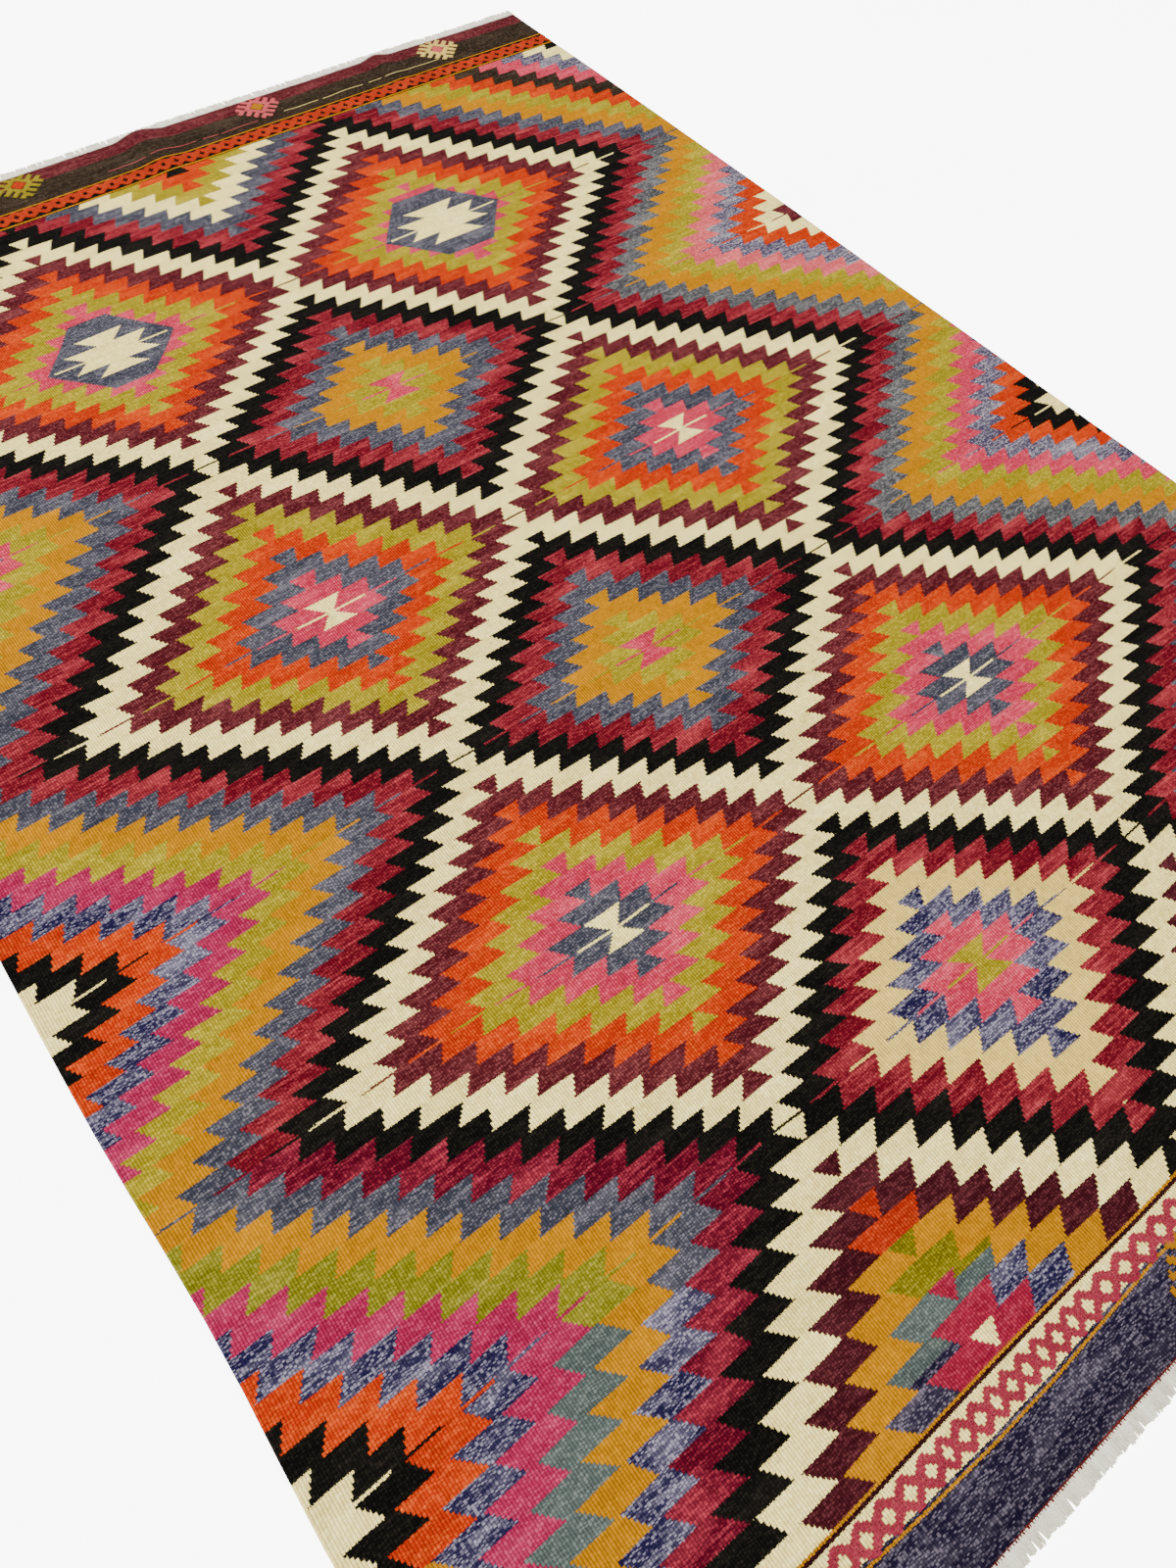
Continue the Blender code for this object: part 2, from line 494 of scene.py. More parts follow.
def weave_places(graph):
    """Where a point is in the weave: its rib, its weft and its place in metres."""
    split = graph.node("ShaderNodeSeparateXYZ")
    graph.feed(split.inputs[0], graph.node("ShaderNodeUVMap", uv_map="cloth").outputs[0])
    across, along = split.outputs[0], split.outputs[1]
    ribs = graph.product(across, RIB_COUNT)
    rib = graph.math("FLOOR", ribs)
    odd = graph.math("MODULO", rib, 2.0)
    wefts = graph.math("MULTIPLY_ADD", odd, 0.5, graph.product(along, CLOTH_LENGTH / WEFT_PITCH))
    weft = graph.math("FLOOR", wefts)
    x = graph.math("MULTIPLY_ADD", rib, RIB_PITCH, 0.5 * RIB_PITCH - 0.5 * CLOTH_WIDTH)
    y = graph.product(graph.math("MULTIPLY_ADD", odd, -0.5, weft), WEFT_PITCH)
    crest = graph.math("SINE", graph.product(graph.math("FRACT", ribs), math.pi))
    swell = graph.math("SINE", graph.product(graph.math("FRACT", wefts), math.pi))
    return {"rib": rib, "weft": weft, "x": x, "y": y, "crest": crest, "swell": swell}


def find_columns(graph, place):
    """The columns of diamonds at this place along the cloth."""
    place["along"] = graph.math("DIVIDE", place["y"], CLOTH_LENGTH)
    for column in ("left", "middle", "right"):
        place[column] = line_curve(graph, place["along"], column, 1.0, 0.5)


def count_rows(graph, place):
    """Rows of teeth, counted from the cut-off line, with the weaver's unevenness."""
    x, y, left = place["x"], place["y"], place["left"]
    aside = graph.math("DIVIDE", graph.minus(x, left), graph.minus(place["right"], left))
    aside = graph.math("MINIMUM", graph.math("MAXIMUM", aside, 0.0), 1.0)
    beyond = graph.math("MAXIMUM", graph.product(graph.minus(left, x), 2.0), 0.0)
    lean = line_curve(graph, place["along"], "lean", 0.05)
    drop = line_curve(graph, place["along"], "drop", 0.05, 0.5)
    lifted = graph.total(y, graph.product(lean, aside), graph.product(drop, beyond), place["wave"])
    row = line_curve(graph, graph.math("DIVIDE", lifted, CLOTH_LENGTH), "row", 100.0)
    wander = graph.grain(x, y, 7.0, 11.0, 1.0)
    row = graph.math("MULTIPLY_ADD", graph.minus(wander, 0.5), ROW_UNEVENNESS, row)
    row = graph.math("MAXIMUM", row, FIRST_ROW)
    from_line = graph.math("PINGPONG", row, float(HALF_BAND))
    from_line = graph.math("MAXIMUM", from_line, graph.minus(row, float(LAST_LINE)))
    place["row"] = row
    place["whole_row"] = graph.math("FLOOR", row)
    place["from_line"] = from_line
    place["rest_of_row"] = graph.minus(1.0, graph.math("FRACT", from_line))
    place["near_large"] = graph.math("LESS_THAN", from_line, LINE_HALF)
    place["below_last"] = graph.math("LESS_THAN", row, float(LAST_LINE))
    place["near_small"] = graph.product(
        graph.math("COMPARE", from_line, float(HALF_BAND), LINE_HALF), place["below_last"])


def count_steps(graph, place):
    """Steps from the nearest large diamond's axis, and the side of the columns."""
    x, left, middle, right = [place[key] for key in ("x", "left", "middle", "right")]
    left_step = line_curve(graph, place["along"], "left_step", 0.05)
    to_left = graph.math("MAXIMUM",
                         graph.math("DIVIDE", graph.product(graph.minus(x, left), STEPS_TO_MIDDLE),
                                    graph.minus(middle, left)),
                         graph.math("DIVIDE", graph.minus(left, x), left_step))
    to_right = graph.math("MAXIMUM",
                          graph.math("DIVIDE", graph.product(graph.minus(right, x), STEPS_TO_MIDDLE),
                                     graph.minus(right, middle)),
                          graph.math("DIVIDE", graph.minus(x, right), RIGHT_STEP))
    place["right_half"] = graph.math("GREATER_THAN", x, middle)
    place["steps"] = graph.choose(place["right_half"], to_left, to_right)
    place["inside_left"] = graph.math("GREATER_THAN", x, left)
    place["outside_right"] = graph.math("GREATER_THAN", x, right)
    place["inner"] = graph.minus(place["inside_left"], place["outside_right"])


def find_ring(graph, place):
    """The ring, whose edge slants within each row so that its teeth point away from the line."""
    x, steps, from_line, rest = [place[key] for key in ("x", "steps", "from_line", "rest_of_row")]
    jitter = graph.node("ShaderNodeSeparateColor")
    cell = graph.vector(graph.product(x, 13.0), graph.product(place["whole_row"], 3.7))
    graph.feed(jitter.inputs[0], graph.noise(cell, output="Color"))
    slant = graph.product(line_curve(graph, place["along"], "slant", 1.0),
                          graph.math("MULTIPLY_ADD", jitter.outputs[1], 0.9, 0.55))
    place["count"] = graph.math("FLOOR", from_line)
    ring_place = graph.total(steps, place["count"], -0.15, graph.product(slant, rest),
                             graph.math("MULTIPLY_ADD", jitter.outputs[0], 0.5, -0.25))
    uneven = graph.noise(graph.vector(graph.product(x, 17.0), place["whole_row"]))
    dash = graph.product(graph.math("MULTIPLY_ADD", uneven, 1.6, 0.6),
                         graph.minus(place["near_small"], place["near_large"]))
    ring_place = graph.total(ring_place, dash)
    ring = graph.math("CEIL", graph.product(graph.minus(ring_place, 0.5), 0.5))
    ring = graph.math("MAXIMUM", ring, 1.0)

    # The bows in the hearts of the large and the small diamonds.
    bow = graph.total(steps, graph.product(rest, BOW_SLANT),
                      graph.product(place["near_large"], -BOW_DASH))
    in_bow = graph.product(graph.math("LESS_THAN", from_line, 1.0),
                           graph.math("LESS_THAN", bow, BOW_REACH))
    ring = graph.choose(in_bow, ring, 0.0)
    whole_small = graph.product(place["inner"], place["below_last"])
    ring = graph.choose(whole_small, ring, graph.math("MINIMUM", ring, SMALL_HEART - 1.0))
    bow = graph.total(STEPS_TO_MIDDLE, graph.product(steps, -1.0),
                      graph.product(rest, -SMALL_BOW_SLANT),
                      graph.product(place["near_small"], -BOW_DASH))
    in_bow = graph.product(graph.math("GREATER_THAN", from_line, HALF_BAND - 1.0),
                           graph.math("LESS_THAN", bow, SMALL_BOW_REACH), whole_small)
    place["ring"] = graph.choose(in_bow, ring, float(SMALL_HEART))


def large_yarn(graph, place):
    """Large diamonds: the whole ones of three lines, and those that the near border cuts."""
    x, row, ring = place["x"], place["row"], place["ring"]
    line = graph.math("FLOOR", graph.math("MULTIPLY_ADD", row, 0.5 / HALF_BAND, 0.5))
    line = graph.math("MINIMUM", line, float(len(LARGE_RINGS)))
    whole_chart = LARGE_RINGS["third"] + LARGE_RINGS["second"] + LARGE_RINGS["first"]
    chart_place = graph.math("MULTIPLY_ADD", graph.minus(line, 1.0), float(LARGE_COUNT), ring)
    whole = read_chart(graph, whole_chart, chart_place)
    third = graph.math("FLOOR", graph.product(place["from_line"], 3.0))
    on_right = graph.choose(place["right_half"], graph.math("GREATER_THAN", x, place["left"]),
                            graph.math("GREATER_THAN", x, place["right"]))
    third_ring = graph.choose(on_right, read_chart(graph, CUT_THIRD_RING["left"], third),
                              read_chart(graph, CUT_THIRD_RING["right"], third))
    cut = graph.choose(graph.math("COMPARE", ring, 3.0, 0.5),
                       read_chart(graph, CUT_RINGS, ring), third_ring)
    cut = graph.choose(graph.math("COMPARE", ring, 4.0, 0.5), cut,
                       read_chart(graph, CUT_FOURTH_RING, third))
    return graph.choose(graph.math("LESS_THAN", line, 0.5), whole, cut)


def small_yarn(graph, place):
    """Small diamonds, with a chart for each cross line between the large ones."""
    row, ring, inner = place["row"], place["ring"], place["inner"]
    which = graph.math("FLOOR", graph.math("DIVIDE", row, 2.0 * HALF_BAND))
    small = None
    for number, rings in enumerate(SMALL_RINGS):
        to_middle, to_right = len(rings["left"]), len(rings["left"] + rings["middle"])
        start = graph.total(graph.product(inner, float(to_middle)),
                            graph.product(place["outside_right"], float(to_right)))
        last = graph.choose(inner, to_middle - 1.0, len(rings["middle"]) - 1.0)
        own_ring = graph.math("MINIMUM", graph.minus(ring, float(LARGE_COUNT)), last)
        letters = rings["left"] + rings["middle"] + rings["right"]
        yarn = read_chart(graph, letters, graph.total(own_ring, start))
        if small is None:
            small = yarn
        else:
            small = graph.choose(graph.math("GREATER_THAN", which, number - 0.5), small, yarn)
    for change in RUN_OUTS:
        ran_out = graph.product(graph.math("COMPARE", ring, float(change["ring"]), 0.5),
                                graph.math("LESS_THAN", row, change["below_row"]),
                                graph.minus(1.0, place["inside_left"]))
        small = graph.choose(ran_out, small, yarn_number(change["yarn"]))
    return small


def with_far_hearts(graph, place, yarn):
    """The far pair of large diamonds has a smooth-sided slate hexagon with an ivory figure."""
    steps, from_line = place["steps"], place["from_line"]
    size = graph.choose(place["right_half"], *HEXAGON_REACH)
    reach = graph.math("MULTIPLY_ADD", from_line, HEXAGON_SLOPE, steps)
    hexagon = graph.product(graph.math("GREATER_THAN", place["row"], FAR_PAIR_ROW),
                            graph.math("LESS_THAN", reach, size),
                            graph.math("LESS_THAN", from_line, HEXAGON_ROWS))
    figure_place = graph.total(steps, place["count"],
                               graph.product(place["rest_of_row"], FIGURE_SLANT))
    figure_size = graph.choose(place["right_half"], *FIGURE_REACH)
    figure = graph.product(graph.math("LESS_THAN", figure_place, figure_size),
                           graph.math("LESS_THAN", from_line, FIGURE_ROWS))
    dash = graph.product(place["near_large"],
                         graph.math("LESS_THAN", steps, graph.minus(size, 0.4)))
    figure = graph.math("MAXIMUM", figure, dash)
    yarn = graph.choose(hexagon, yarn, yarn_number("S"))
    return graph.choose(graph.product(hexagon, figure), yarn, yarn_number("I"))


def field_yarn(graph, place):
    """The yarn of the serrated diamonds."""
    find_columns(graph, place)
    count_rows(graph, place)
    count_steps(graph, place)
    find_ring(graph, place)
    # Each patch of yarn has its own tone, because it is woven on its own.
    side = graph.total(place["outside_right"], place["inside_left"], place["right_half"])
    patch = graph.vector(place["whole_row"], place["ring"], side)
    place["patch_tone"] = graph.speckle(patch)
    in_small = graph.math("GREATER_THAN", place["ring"], LARGE_COUNT - 0.5)
    yarn = graph.choose(in_small, large_yarn(graph, place), small_yarn(graph, place))
    return with_far_hearts(graph, place, yarn)


def dyed_colour(graph, yarn, place):
    """The yarn's colour with its spun-in flecks and its uneven dye, times painted shade from the ribs
    and wefts and random tone.
    """
    main_stops = []
    fleck_stops = []
    for number, dye in enumerate(YARNS.values()):
        main_stops.append((number / YARN_SLOTS, srgb(dye["main"]) + (dye["heather"],)))
        fleck_stops.append((number / YARN_SLOTS, srgb(dye["fleck"]) + (dye["abrash"],)))
    main, heather = graph.ramp(yarn, main_stops)
    fleck, abrash = graph.ramp(yarn, fleck_stops)
    x, y = place["x"], place["y"]
    single = graph.speckle(graph.vector(place["rib"], place["weft"]))
    tufts = graph.grain(x, y, 60.0, 170.0, 2.0)
    spun = graph.math("MULTIPLY_ADD", graph.minus(tufts, 0.5), 0.7, single)
    streaks = graph.grain(x, y, 16.0, 300.0, 2.0)
    patches = graph.grain(x, y, 12.0, 42.0, 1.0)
    drawn = graph.grain(place["rib"], y, 0.61, 90.0, 1.0)
    tone = graph.minus(place["patch_tone"], 0.5)
    share = graph.total(
        graph.product(heather, graph.smooth(spun, 0.45, 1.05)),
        graph.product(abrash, graph.smooth(streaks, 0.50, 0.72)),
        graph.product(abrash, graph.smooth(patches, 0.48, 0.75), 0.6),
        graph.product(abrash, tone, 0.4))
    share = graph.math("MINIMUM", graph.math("MAXIMUM", share, 0.0), 1.0)
    colour = graph.blend(share, main, fleck)
    # Painted shade: the colour is darker between the ribs and the wefts and lighter on their crests,
    # with random tone on top.
    shade = graph.total(PAINTED_SHADE_AND_TONE["ground"],
                        graph.product(place["crest"], PAINTED_SHADE_AND_TONE["crest"]),
                        graph.product(place["swell"], PAINTED_SHADE_AND_TONE["swell"]),
                        graph.product(graph.minus(single, 0.5), PAINTED_SHADE_AND_TONE["single"]),
                        graph.product(graph.minus(drawn, 0.5), PAINTED_SHADE_AND_TONE["drawn"]),
                        graph.product(graph.minus(patches, 0.5), PAINTED_SHADE_AND_TONE["patches"]),
                        graph.product(tone, PAINTED_SHADE_AND_TONE["tone"]))
    return graph.shaded(colour, shade)


def weave_material():
    graph = Graph("kilim_weave")
    place = weave_places(graph)
    x, y = place["x"], place["y"]
    # Wefts dip between the ribs, so a line across the cloth is finely toothed.
    dip = graph.product(graph.minus(place["crest"], 0.6), WEFT_DIP)
    sway = graph.noise(graph.vector(graph.product(x, 3.0), graph.product(y, 2.0), 4.0), 1.0)
    sway = graph.product(graph.minus(sway, 0.5), WEFT_SWAY)
    place["wave"] = graph.total(dip, sway)
    yarn = field_yarn(graph, place)
    near_depth = graph.total(y, place["wave"])
    far_depth = graph.minus(CLOTH_LENGTH, near_depth)
    shift_points = [(spot / CLOTH_WIDTH + 0.5, 50.0 * inward) for spot, inward in LINE_WANDER]
    shift = graph.curve(graph.math("MULTIPLY_ADD", x, 1.0 / CLOTH_WIDTH, 0.5), shift_points)
    in_band = graph.product(graph.math("LESS_THAN", near_depth, WANDER_ENDS),
                            graph.math("GREATER_THAN", near_depth, WANDER_STARTS))
    near_depth = graph.minus(near_depth, graph.product(shift, in_band, 0.02))
    yarn = graph.choose(graph.math("LESS_THAN", near_depth, NEAR_BORDER), yarn,
                        read_bands(graph, NEAR_BANDS, near_depth))
    yarn = graph.choose(graph.math("LESS_THAN", far_depth, FAR_BORDER), yarn,
                        read_bands(graph, FAR_BANDS, far_depth))
    in_field = graph.product(graph.math("GREATER_THAN", near_depth, NEAR_BORDER),
                             graph.math("GREATER_THAN", far_depth, FAR_BORDER))
    place["patch_tone"] = graph.choose(in_field, 0.5, place["patch_tone"])
    graph.feed(graph.shader.inputs["Base Color"], dyed_colour(graph, yarn, place))
    height = graph.total(graph.product(place["crest"], 0.5),
                         graph.product(place["swell"], place["crest"], 0.5))
    graph.bump(height, 0.0005, 0.7)
    return graph.finish()


# -------------------- meshes


def new_piece(name, points, faces, materials, smooth=True):
    mesh = bpy.data.meshes.new(name)
    mesh.from_pydata(points, [], faces)
    mesh.validate()
    for material in materials:
        mesh.materials.append(material)
    if smooth:
        mesh.shade_smooth()
    piece = bpy.data.objects.new(name, mesh)
    bpy.context.scene.collection.objects.link(piece)
    return piece


def add_cloth_maps(piece, shares):
    """Write each vertex's share of the width and length, for the weave and for baking."""
    for map_name in ("cloth", "OFBake"):
        layer = piece.data.uv_layers.new(name=map_name)
        for loop in piece.data.loops:
            layer.data[loop.index].uv = shares[loop.vertex_index]


def sheet_rows():
    """Shares of the length for the sheet's rows, closer together where the ridges run out."""
    rows = [PLAIN_SHARE * step / PLAIN_ROWS for step in range(PLAIN_ROWS)]
    for step in range(RIDGED_ROWS + 1):
        rows.append(PLAIN_SHARE + (1.0 - PLAIN_SHARE) * step / RIDGED_ROWS)
    return rows


def woven_sheet():
    """The ribbed sheet: a crest and a valley for each rib, on both faces."""
    columns = 2 * RIB_COUNT + 1
    rows = sheet_rows()
    row_steps = len(rows) - 1
    points = []
    shares = []
    for face in (1, 0):
        for along in rows:
            for column in range(columns):
                across = column / (columns - 1)
                relief = RIB_RELIEF * (column % 2)
                lift = CLOTH_THICKNESS - RIB_RELIEF + relief if face else RIB_RELIEF - relief
                points.append(cloth_place(across, along, lift))
                shares.append((across, along))
    layer = columns * (row_steps + 1)
    faces = []
    for row in range(row_steps):
        for column in range(columns - 1):
            a = row * columns + column
            b = a + columns
            faces.append((a, a + 1, b + 1, b))
            faces.append((b + layer, b + 1 + layer, a + 1 + layer, a + layer))
    for row in range(row_steps):
        for column, turn in ((0, 1), (columns - 1, -1)):
            a = row * columns + column
            side = (a, a + columns, a + columns + layer, a + layer)
            faces.append(side[::turn])
    for row, turn in ((0, 1), (row_steps, -1)):
        for column in range(columns - 1):
            a = row * columns + column
            side = (a + 1, a, a + layer, a + 1 + layer)
            faces.append(side[::turn])
    piece = new_piece("woven_cloth", points, faces, [weave_material()])
    add_cloth_maps(piece, shares)
    return piece


cloth = woven_sheet()
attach(cloth, "root")
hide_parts("kilim")

# -------------------- brocaded stitches

# A stitch of thick yarn: its height on the loom, its rise above the cloth, half the gap to
# the next one, and how many ribs it crosses at least before it dips.
STITCH_HEIGHT = 0.0014
STITCH_LIFT = 0.0009
STITCH_GAP = 0.00008
LONGEST_STITCH = 3


def stitch_material(name, letter):
    """One thick soft yarn, with some uneven dye and the shade of its slanting ply painted into its
    colour.
    """
    graph = Graph(name)
    x, y = graph.plan_place()
    ply = graph.math("SINE", graph.total(graph.product(x, 2600.0), graph.product(y, 3400.0)))
    tufts = graph.grain(x, y, 300.0, 500.0, 2.0)
    patches = graph.grain(x, y, 22.0, 30.0, 1.0)
    dye = YARNS[letter]
    share = graph.total(graph.product(graph.smooth(tufts, 0.42, 0.70), 0.5),
                        graph.product(graph.minus(patches, 0.5), 0.5))
    colour = graph.blend(graph.math("MAXIMUM", share, 0.0), srgb(dye["main"]) + (1.0,),
                         srgb(dye["fleck"]) + (1.0,))
    # Painted shade: the ply's sine darkens and lightens the colour along its twist; the patches are
    # uneven dye.
    shade = graph.total(0.92, graph.product(ply, 0.06), graph.product(graph.minus(patches, 0.5), 0.4))
    graph.feed(graph.shader.inputs["Base Color"], graph.shaded(colour, shade))
    graph.bump(graph.total(graph.product(ply, 0.4), tufts), 0.0004, 0.6)
    return graph.finish(roughness=0.85, sheen=0.04)


def add_stitch(points, faces, left, right, middle, lift, thickness=STITCH_HEIGHT):
    """A low pillow of yarn from rib to rib, lying across the cloth."""
    start = len(points)
    half = 0.5 * thickness - STITCH_GAP
    soft = 0.35 * half
    rings = ((0.0, half, -0.0004), (0.0004, 0.92 * half, 0.6 * lift), (0.0010, soft, lift))
    for inset, reach, height in rings:
        for x, y in ((left + inset, middle - reach), (right - inset, middle - reach),
                     (right - inset, middle + reach), (left + inset, middle + reach)):
            place = cloth_place(x / CLOTH_WIDTH + 0.5, y / CLOTH_LENGTH, CLOTH_THICKNESS + height)
            points.append(tuple(place))
    for ring in range(len(rings) - 1):
        for corner in range(4):
            a = start + 4 * ring + corner
            b = start + 4 * ring + (corner + 1) % 4
            faces.append((a, b, b + 4, a + 4))
    top = start + 4 * (len(rings) - 1)
    faces.append((top, top + 1, top + 2, top + 3))
    faces.append((start + 3, start + 2, start + 1, start))


def brocade(name, letter, low, high, covers, lift=STITCH_LIFT):
    """Fill the places where covers(x, y) is true with stitches, row by row and rib by rib.

    low and high are the corners of the patch: x from the cloth's middle, y from its near end.
    """
    points = []
    faces = []
    first_rib = math.floor(low[0] / RIB_PITCH)
    last_rib = math.ceil(high[0] / RIB_PITCH)
    rows = round((high[1] - low[1]) / STITCH_HEIGHT)
    for row in range(rows):
        y = low[1] + (row + 0.5) * STITCH_HEIGHT
        run_start = None
        for rib in range(first_rib, last_rib + 2):
            covered = rib <= last_rib and covers((rib + 0.5) * RIB_PITCH, y)
            full = run_start is not None and rib - run_start >= LONGEST_STITCH + (row + rib) % 2
            if run_start is not None and (full or not covered):
                add_stitch(points, faces, run_start * RIB_PITCH, rib * RIB_PITCH, y, lift)
                run_start = None
            if covered and run_start is None:
                run_start = rib
    piece = new_piece(name, points, faces, [stitch_material(name + "_yarn", letter)])
    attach(piece, "root")
    return piece


# The lattice bands. "units" gives the diamond's number at places across the cloth.
BAND_HALF = 0.5 * CLOTH_WIDTH - 0.004
NEAR_LATTICE = {
    "middle": 0.0770, "half_height": 0.0140, "hole_wide": 0.58, "hole_high": 0.50,
    "low_valley": 0.42, "high_valley": 0.46,
    "units": ((-0.775, -12.0), (-0.458, 0.0), (-0.356, 4.0), (-0.154, 14.0), (-0.048, 18.0),
              (0.775, 53.0)),
}
FAR_LATTICE = {
    "middle": CLOTH_LENGTH - 0.1068, "half_height": 0.0138, "hole_wide": 0.42, "hole_high": 0.44,
    "low_valley": 0.45, "high_valley": 0.68,
    "units": ((-0.775, -34.0), (0.775, 34.0)),
}


def unit_place(units, x):
    """How many units of the lattice lie between its unit 0 and x."""
    for (low_x, low_unit), (high_x, high_unit) in zip(units, units[1:]):
        if x <= high_x:
            break
    return low_unit + (high_unit - low_unit) * (x - low_x) / (high_x - low_x)


def lattice_covers(lattice):
    """A chain of diamonds with an open middle each, and notches where two of them meet."""
    def covers(x, y):
        unit = unit_place(lattice["units"], x)
        aside = 2.0 * abs(unit - round(unit))
        up = (y - lattice["middle"]) / lattice["half_height"]
        valley = lattice["high_valley"] if up > 0.0 else lattice["low_valley"]
        roof = 1.0 - (1.0 - valley) * max(0.0, (aside - 0.2) / 0.8)
        open_middle = aside / lattice["hole_wide"] + abs(up) / lattice["hole_high"] < 1.0
        return abs(up) < roof and not open_middle
    return covers


def lattice_band(name, letter, lattice):
    low = (-BAND_HALF, lattice["middle"] - lattice["half_height"])
    high = (BAND_HALF, lattice["middle"] + lattice["half_height"])
    return brocade(name, letter, low, high, lattice_covers(lattice))


# A star's heart, ring and fingers, measured out from its middle, across plus along.
HEART_REACH = 0.0125
RING_INSIDE = 0.0145
RING_OUTSIDE = 0.0250
STAR_REACH = 0.046
FINGER_PITCH = 0.0187
FINGER_HALF = 0.28
STARS = (
    {"name": "far_star_1", "x": -0.600, "from_near": 2.188, "ring": "I", "heart": "P"},
    {"name": "far_star_2", "x": -0.213, "from_near": 2.192, "ring": "G", "heart": "O"},
    {"name": "far_star_3", "x": 0.214, "from_near": 2.190, "ring": "p", "heart": "Y"},
    {"name": "far_star_4", "x": 0.581, "from_near": 2.186, "ring": "C", "heart": "p"},
    {"name": "near_star_1", "x": -0.500, "from_near": 0.030, "ring": "G", "heart": "O"},
    {"name": "near_star_2", "x": -0.047, "from_near": 0.030, "ring": "Y", "heart": "I"},
    {"name": "near_star_3", "x": 0.370, "from_near": 0.030, "ring": "C", "heart": "p"},
)


def star(row):
    """A diamond with fingers along its four sides, round a small diamond of another yarn."""
    middle_x, middle_y = row["x"], row["from_near"]

    def ring(x, y):
        aside, up = abs(x - middle_x), abs(y - middle_y)
        out = aside + up
        along_side = aside - up
        finger = (along_side / FINGER_PITCH) % 1.0
        on_finger = abs(finger - 0.5) < FINGER_HALF and out < STAR_REACH
        on_finger = on_finger and abs(along_side) < 2.0 * FINGER_PITCH
        return RING_INSIDE < out and (out < RING_OUTSIDE or on_finger)

    def heart(x, y):
        return abs(x - middle_x) + abs(y - middle_y) < HEART_REACH

    reach = STAR_REACH + 0.002
    low = (middle_x - reach, max(0.002, middle_y - reach))
    high = (middle_x + reach, min(CLOTH_LENGTH - 0.003, middle_y + reach))
    return [brocade(row["name"], row["ring"], low, high, ring),
            brocade(row["name"] + "_heart", row["heart"], low, high, heart)]


# Thin weft lines that wander along the far brown band, with gaps where they dip under ribs.
WEFT_LINES = (
    {"name": "weft_line_1", "yarn": "p", "from": -0.080, "to": 0.185, "depth": 0.070},
    {"name": "weft_line_2", "yarn": "I", "from": 0.245, "to": 0.560, "depth": 0.066},
)
WEFT_LINE_THICKNESS = 0.0009
WEFT_LINE_SWAY = 0.0012
WEFT_LINE_SHOWN = 0.85
WEFT_LINE_SEED = 5


def weft_line(row):
    chance = random.Random(WEFT_LINE_SEED)
    points = []
    faces = []
    x = row["from"]
    while x < row["to"]:
        length = RIB_PITCH * chance.choice((2, 3, 4))
        sway = math.sin(38.0 * x) + 0.6 * math.sin(91.0 * x)
        y = CLOTH_LENGTH - row["depth"] + WEFT_LINE_SWAY * sway
        if chance.random() < WEFT_LINE_SHOWN:
            add_stitch(points, faces, x, x + length, y, 0.4 * STITCH_LIFT, WEFT_LINE_THICKNESS)
        x += length
    material = stitch_material(row["name"] + "_yarn", row["yarn"])
    piece = new_piece(row["name"], points, faces, [material])
    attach(piece, "root")
    return piece


brocaded = [lattice_band("near_lattice", "L", NEAR_LATTICE),
            lattice_band("far_lattice", "O", FAR_LATTICE)]
for star_row in STARS:
    brocaded.extend(star(star_row))
for line_row in WEFT_LINES:
    brocaded.append(weft_line(line_row))

# -------------------- fringes

# Each warp end is a round strand, drawn a little flat. "BUNCH" counts the ribs whose ends
# hang together, and every other end lies a layer higher.
FRINGE_LAYER = 0.0009
WARP_RADIUS = 0.0012
STRAND_BREADTH = 1.35
STRAND_SIDES = 7
STRAND_STEPS = 6
BUNCH = 3
BUNCH_LEAN = 0.0012
BUNCH_GATHER = 0.12
FRINGE_SEED = 11


def fringe_material():
    graph = Graph("fringe_wool_yarn")
    x, y = graph.plan_place()
    twist = graph.math("SINE", graph.total(graph.product(x, 3200.0), graph.product(y, 2400.0)))
    bunch = graph.grain(x, y, 110.0, 12.0, 1.0)
    fluff = graph.grain(x, y, 900.0, 260.0, 2.0)
    share = graph.math("MULTIPLY_ADD", fluff, 0.5, graph.product(bunch, 0.5))
    colour = graph.ramp(share, [(0.34, srgb((216, 209, 184)) + (1.0,)),
                                (0.60, srgb((255, 250, 228)) + (1.0,))], "LINEAR")[0]
    # Painted shade: the twist's sine darkens and lightens the strands' colour along their twist.
    shade = graph.math("MULTIPLY_ADD", twist, 0.05, 0.95)
    graph.feed(graph.shader.inputs["Base Color"], graph.shaded(colour, shade))
    graph.bump(graph.total(graph.product(twist, 0.5), fluff), 0.0004, 0.6)
    return graph.finish(roughness=0.9, sheen=0.08)


def add_strand(points, faces, start, finish, radius, bow):
    """One warp end, from inside the cloth to its frayed tip."""
    first = len(points)
    for step in range(STRAND_STEPS + 1):
        share = step / STRAND_STEPS
        middle = start.lerp(finish, share)
        middle.x += bow * math.sin(math.pi * share)
        thin = radius * (1.0 - 0.35 * share ** 4)
        middle.z = max(start.z + (finish.z - start.z) * min(1.0, 1.4 * share), thin)
        for side in range(STRAND_SIDES):
            turn = 2.0 * math.pi * side / STRAND_SIDES
            points.append((middle.x + thin * math.cos(turn) * STRAND_BREADTH, middle.y,
                           middle.z + thin * math.sin(turn)))
    for step in range(STRAND_STEPS):
        for side in range(STRAND_SIDES):
            a = first + step * STRAND_SIDES + side
            b = first + step * STRAND_SIDES + (side + 1) % STRAND_SIDES
            faces.append((a, b, b + STRAND_SIDES, a + STRAND_SIDES))
    last = first + STRAND_STEPS * STRAND_SIDES
    faces.append(tuple(range(last, last + STRAND_SIDES)))
    faces.append(tuple(range(first + STRAND_SIDES - 1, first - 1, -1)))


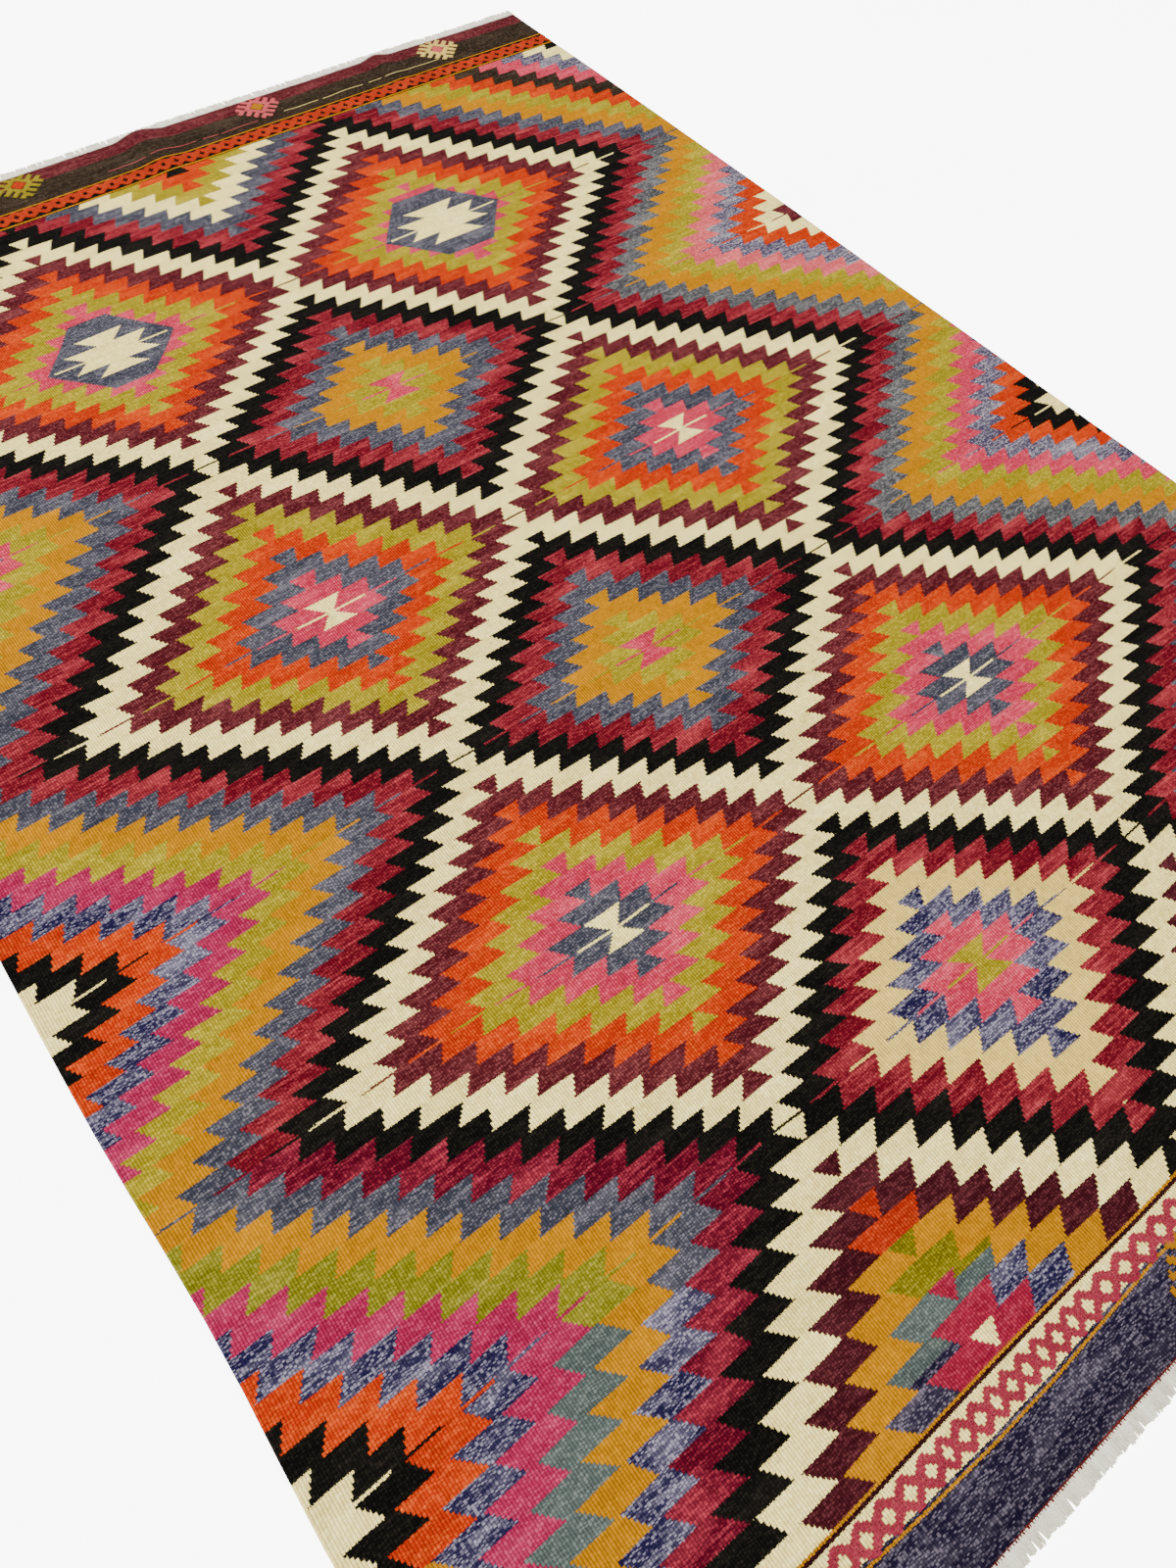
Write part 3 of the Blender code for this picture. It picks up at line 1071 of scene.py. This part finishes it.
def fringe(name, node, along, outward, length, material):
    """The cut warp ends past one end of the cloth, gathered in bunches."""
    chance = random.Random(FRINGE_SEED + outward)
    points = []
    faces = []
    lean = 0.0
    for warp in range(2 * RIB_COUNT):
        across = (0.5 * warp + 0.25) / RIB_COUNT
        if warp % (2 * BUNCH) == 0:
            lean = 0.6 * lean + chance.uniform(-BUNCH_LEAN, BUNCH_LEAN)
            bunch_length = length * chance.uniform(0.92, 1.06)
            middle_across = (0.5 * warp + 0.5 * BUNCH) / RIB_COUNT
        start = cloth_place(across, along, 0.5 * CLOTH_THICKNESS)
        start.y -= outward * 0.002
        reach = bunch_length * chance.uniform(0.93, 1.04)
        finish = cloth_place(across, along)
        gather = (middle_across - across) * CLOTH_WIDTH * BUNCH_GATHER
        finish.x += lean + gather + chance.uniform(-0.0006, 0.0006)
        finish.y += outward * reach
        radius = WARP_RADIUS * chance.uniform(0.90, 1.10)
        finish.z = radius + FRINGE_LAYER * (1 - warp % 2)
        bow = chance.uniform(-0.0006, 0.0006)
        add_strand(points, faces, start, finish, radius, bow)
    piece = new_piece(name, points, faces, [material])
    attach(piece, "root")
    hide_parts(node)
    return piece


fringe_wool = fringe_material()
fringes = [fringe("fringe_strands_far", "fringe_far", 1.0, 1, 0.0165, fringe_wool),
           fringe("fringe_strands_near", "fringe_near", 0.0, -1, 0.0145, fringe_wool)]

# -------------------- floor, light and camera

# The pale floor glows a little, so that it stays nearly white under a soft light.
FLOOR_GLOW = 8.0
FLOOR_HALF = 14.0


def studio_floor():
    turns = ((-1, -1), (1, -1), (1, 1), (-1, 1))
    corners = [(x * FLOOR_HALF, y * FLOOR_HALF, 0.0) for x, y in turns]
    graph = Graph("studio_floor")
    grain = graph.noise(graph.node("ShaderNodeTexCoord").outputs["Object"], 2.0)
    colour = graph.ramp(grain, [(0.3, (0.86, 0.86, 0.86, 1.0)), (0.7, (0.90, 0.90, 0.90, 1.0))],
                        "LINEAR")[0]
    graph.feed(graph.shader.inputs["Base Color"], colour)
    graph.feed(graph.shader.inputs["Emission Color"], colour)
    graph.shader.inputs["Emission Strength"].default_value = FLOOR_GLOW
    floor = new_piece("studio_floor", corners, [(0, 1, 2, 3)], [graph.finish(0.9, 0.0)], False)
    floor.location.z = -0.0005


LIGHTS = (
    {"name": "key", "place": (-1.6, 2.4, 3.2), "size": 2.2, "power": 132.0},
    {"name": "fill", "place": (2.6, -2.0, 3.0), "size": 3.0, "power": 44.0},
)
SKY_STRENGTH = 1.4


def area_light(row):
    """A soft round light, turned to the middle of the floor."""
    lamp = bpy.data.lights.new(row["name"], "AREA")
    lamp.shape = "DISK"
    lamp.size = row["size"]
    lamp.energy = row["power"]
    light = bpy.data.objects.new(row["name"], lamp)
    bpy.context.scene.collection.objects.link(light)
    light.location = row["place"]
    light.rotation_euler = (-Vector(row["place"])).to_track_quat("-Z", "Y").to_euler()


def studio_world():
    world = bpy.data.worlds.new("studio_world")
    world.use_nodes = True
    background = world.node_tree.nodes["Background"]
    background.inputs["Color"].default_value = (1.0, 1.0, 1.0, 1.0)
    background.inputs["Strength"].default_value = SKY_STRENGTH
    bpy.context.scene.world = world


# The camera stands over the rug's near left part and looks down across it, slightly rolled.
CAMERA_PLACE = (-0.613, -0.822, 1.0715)
CAMERA_RIGHT = (0.78323, -0.62049, 0.03926)
CAMERA_UP = (0.51470, 0.68252, 0.51890)
CAMERA_LENS = 25.74
CAMERA_SENSOR = 36.0


def studio_camera():
    data = bpy.data.cameras.new("camera")
    data.lens = CAMERA_LENS
    data.sensor_width = CAMERA_SENSOR
    data.sensor_fit = "AUTO"
    camera = bpy.data.objects.new("camera", data)
    bpy.context.scene.collection.objects.link(camera)
    right, up = Vector(CAMERA_RIGHT), Vector(CAMERA_UP)
    turn = Matrix((right, up, right.cross(up))).transposed()
    place = Vector(CAMERA_PLACE) + Vector((SHIFT_X, SHIFT_Y, 0.0))
    camera.matrix_world = Matrix.Translation(place) @ turn.to_4x4()
    bpy.context.scene.camera = camera


studio_floor()
studio_world()
for light_row in LIGHTS:
    area_light(light_row)
studio_camera()
